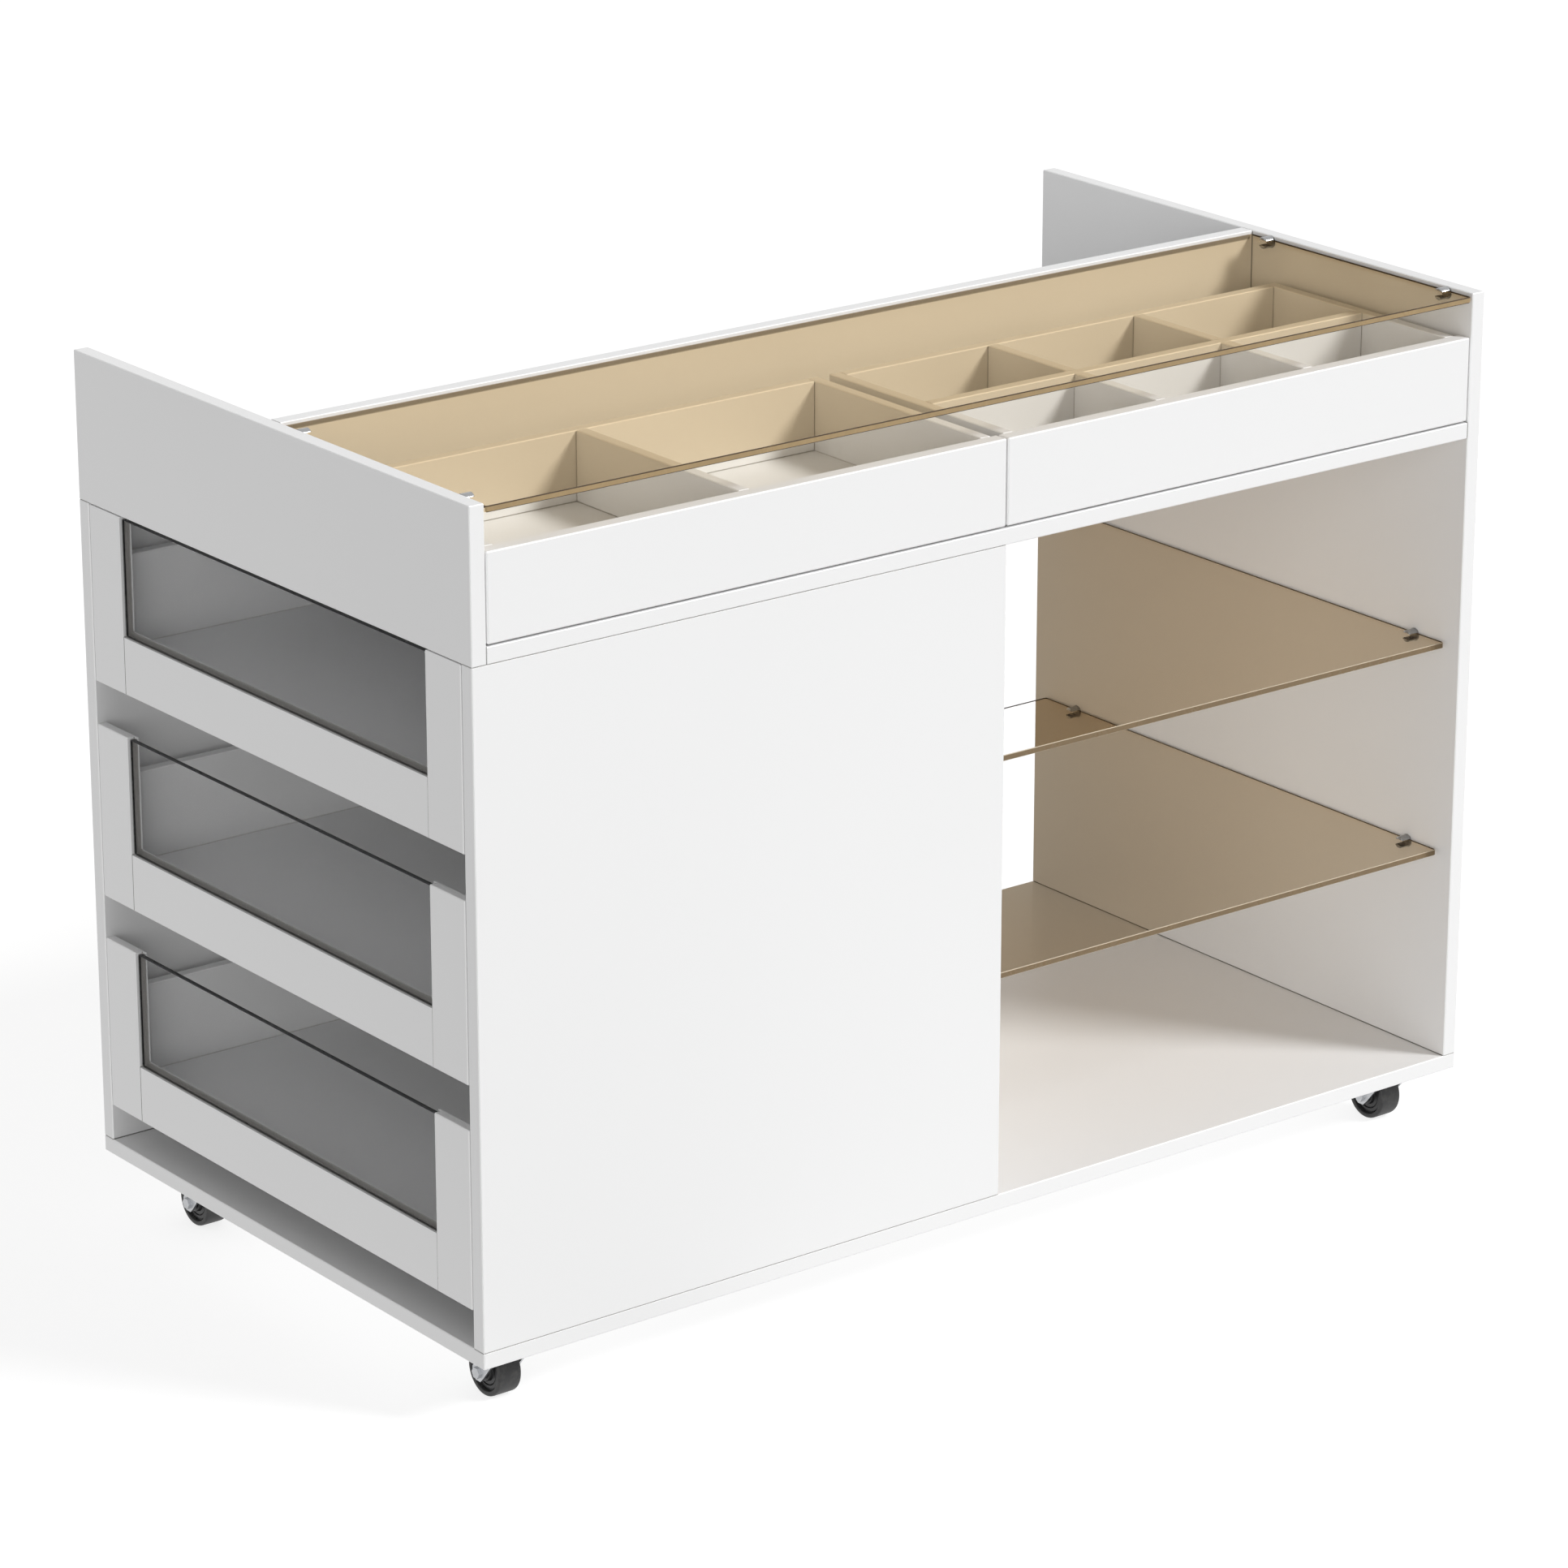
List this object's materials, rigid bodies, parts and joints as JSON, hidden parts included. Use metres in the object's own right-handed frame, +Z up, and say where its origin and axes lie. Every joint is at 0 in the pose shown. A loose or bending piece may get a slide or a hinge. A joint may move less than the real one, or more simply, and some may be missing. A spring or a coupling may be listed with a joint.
{
  "type": "mobile display chest of drawers",
  "caption": "Wheeled white display chest with glass-fronted side drawers, an open bay with tinted glass shelves and partitioned upper drawers under a glass top",
  "frame": {"origin": "on the floor, at the centre of the footprint", "axes": "+X to the right along the long front, -Y the front where the upper drawers open, +Z up; the side drawers open to -X"},
  "size_m": [1.2, 0.65, 0.87],
  "materials": {
    "white_laminate": "white laminated board, satin",
    "drawer_board": "white laminated board inside the drawers, satin",
    "bronze_glass": "clear bronze-tinted glass with ground edges",
    "smoke_glass": "smoke-grey glass with polished bevels",
    "chrome_clips": "bright chrome",
    "zinc_slides": "bright zinc-plated sheet steel",
    "zinc_casters": "zinc-plated pressed steel",
    "black_rubber": "black rubber wheel with a satin disc"
  },
  "bodies": {
    "chest": {"base_panel": "white_laminate", "caster_plates": "zinc_casters", "deck_panel": "white_laminate", "front_panel": "white_laminate", "glass_clips": "chrome_clips", "glass_shelves": "bronze_glass", "glass_top": "bronze_glass", "inner_end_panel": "white_laminate", "left_upper_panel": "white_laminate", "partition_panel": "white_laminate", "rear_panel": "white_laminate", "right_side_panel": "white_laminate", "side_slide_outers": "zinc_slides", "top_slide_rails": "zinc_slides"},
    "lower_drawer": {"lower_drawer_back": "drawer_board", "lower_drawer_bottom": "drawer_board", "lower_drawer_glass": "smoke_glass", "lower_drawer_rail": "white_laminate", "lower_drawer_sides": "drawer_board", "lower_drawer_stiles": "white_laminate", "lower_slide_inners": "zinc_slides"},
    "lower_middles": {"lower_slide_middles": "zinc_slides"},
    "middle_drawer": {"middle_drawer_back": "drawer_board", "middle_drawer_bottom": "drawer_board", "middle_drawer_glass": "smoke_glass", "middle_drawer_rail": "white_laminate", "middle_drawer_sides": "drawer_board", "middle_drawer_stiles": "white_laminate", "middle_slide_inners": "zinc_slides"},
    "middle_middles": {"middle_slide_middles": "zinc_slides"},
    "upper_drawer": {"upper_drawer_back": "drawer_board", "upper_drawer_bottom": "drawer_board", "upper_drawer_glass": "smoke_glass", "upper_drawer_rail": "white_laminate", "upper_drawer_sides": "drawer_board", "upper_drawer_stiles": "white_laminate", "upper_slide_inners": "zinc_slides"},
    "upper_middles": {"upper_slide_middles": "zinc_slides"},
    "left_top_drawer": {"left_top_drawer_back": "drawer_board", "left_top_drawer_bottom": "drawer_board", "left_top_drawer_divider": "drawer_board", "left_top_drawer_front": "white_laminate", "left_top_drawer_runners": "zinc_slides", "left_top_drawer_sides": "drawer_board"},
    "right_top_drawer": {"right_top_drawer_back": "drawer_board", "right_top_drawer_bottom": "drawer_board", "right_top_drawer_cross_dividers": "drawer_board", "right_top_drawer_front": "white_laminate", "right_top_drawer_long_divider": "drawer_board", "right_top_drawer_runners": "zinc_slides", "right_top_drawer_sides": "drawer_board"},
    "front_left_caster": {"front_left_fork": "zinc_casters"},
    "front_left_roller": {"front_left_wheel": "black_rubber"},
    "front_right_caster": {"front_right_fork": "zinc_casters"},
    "front_right_roller": {"front_right_wheel": "black_rubber"},
    "rear_left_caster": {"rear_left_fork": "zinc_casters"},
    "rear_left_roller": {"rear_left_wheel": "black_rubber"},
    "rear_right_caster": {"rear_right_fork": "zinc_casters"},
    "rear_right_roller": {"rear_right_wheel": "black_rubber"}
  },
  "joints": [
    {"name": "lower_drawer_slide", "type": "slide", "parent": "chest", "child": "lower_drawer", "axis": [-1, 0, 0], "range_m": [0, 0.54]},
    {"name": "lower_middles_slide", "type": "slide", "parent": "chest", "child": "lower_middles", "axis": [-1, 0, 0], "range_m": [0, 0.27]},
    {"name": "middle_drawer_slide", "type": "slide", "parent": "chest", "child": "middle_drawer", "axis": [-1, 0, 0], "range_m": [0, 0.54]},
    {"name": "middle_middles_slide", "type": "slide", "parent": "chest", "child": "middle_middles", "axis": [-1, 0, 0], "range_m": [0, 0.27]},
    {"name": "upper_drawer_slide", "type": "slide", "parent": "chest", "child": "upper_drawer", "axis": [-1, 0, 0], "range_m": [0, 0.54]},
    {"name": "upper_middles_slide", "type": "slide", "parent": "chest", "child": "upper_middles", "axis": [-1, 0, 0], "range_m": [0, 0.27]},
    {"name": "left_top_drawer_slide", "type": "slide", "parent": "chest", "child": "left_top_drawer", "axis": [0, -1, 0], "range_m": [0, 0.19]},
    {"name": "right_top_drawer_slide", "type": "slide", "parent": "chest", "child": "right_top_drawer", "axis": [0, -1, 0], "range_m": [0, 0.19]},
    {"name": "front_left_swivel", "type": "hinge", "parent": "chest", "child": "front_left_caster", "pos_m": [-0.547, -0.285, 0.0522], "axis": [0, 0, 1], "continuous": true},
    {"name": "front_left_roll", "type": "hinge", "parent": "front_left_caster", "child": "front_left_roller", "pos_m": [-0.547, -0.265, 0.025], "axis": [1, 0, 0], "continuous": true},
    {"name": "front_right_swivel", "type": "hinge", "parent": "chest", "child": "front_right_caster", "pos_m": [0.547, -0.285, 0.0522], "axis": [0, 0, 1], "continuous": true},
    {"name": "front_right_roll", "type": "hinge", "parent": "front_right_caster", "child": "front_right_roller", "pos_m": [0.547, -0.265, 0.025], "axis": [1, 0, 0], "continuous": true},
    {"name": "rear_left_swivel", "type": "hinge", "parent": "chest", "child": "rear_left_caster", "pos_m": [-0.547, 0.209, 0.0522], "axis": [0, 0, 1], "continuous": true},
    {"name": "rear_left_roll", "type": "hinge", "parent": "rear_left_caster", "child": "rear_left_roller", "pos_m": [-0.547, 0.229, 0.025], "axis": [1, 0, 0], "continuous": true},
    {"name": "rear_right_swivel", "type": "hinge", "parent": "chest", "child": "rear_right_caster", "pos_m": [0.547, 0.209, 0.0522], "axis": [0, 0, 1], "continuous": true},
    {"name": "rear_right_roll", "type": "hinge", "parent": "rear_right_caster", "child": "rear_right_roller", "pos_m": [0.547, 0.229, 0.025], "axis": [1, 0, 0], "continuous": true}
  ],
  "couplings": [
    {"joint": "lower_middles_slide", "follows": "lower_drawer_slide", "ratio": 0.5},
    {"joint": "middle_middles_slide", "follows": "middle_drawer_slide", "ratio": 0.5},
    {"joint": "upper_middles_slide", "follows": "upper_drawer_slide", "ratio": 0.5}
  ]
}
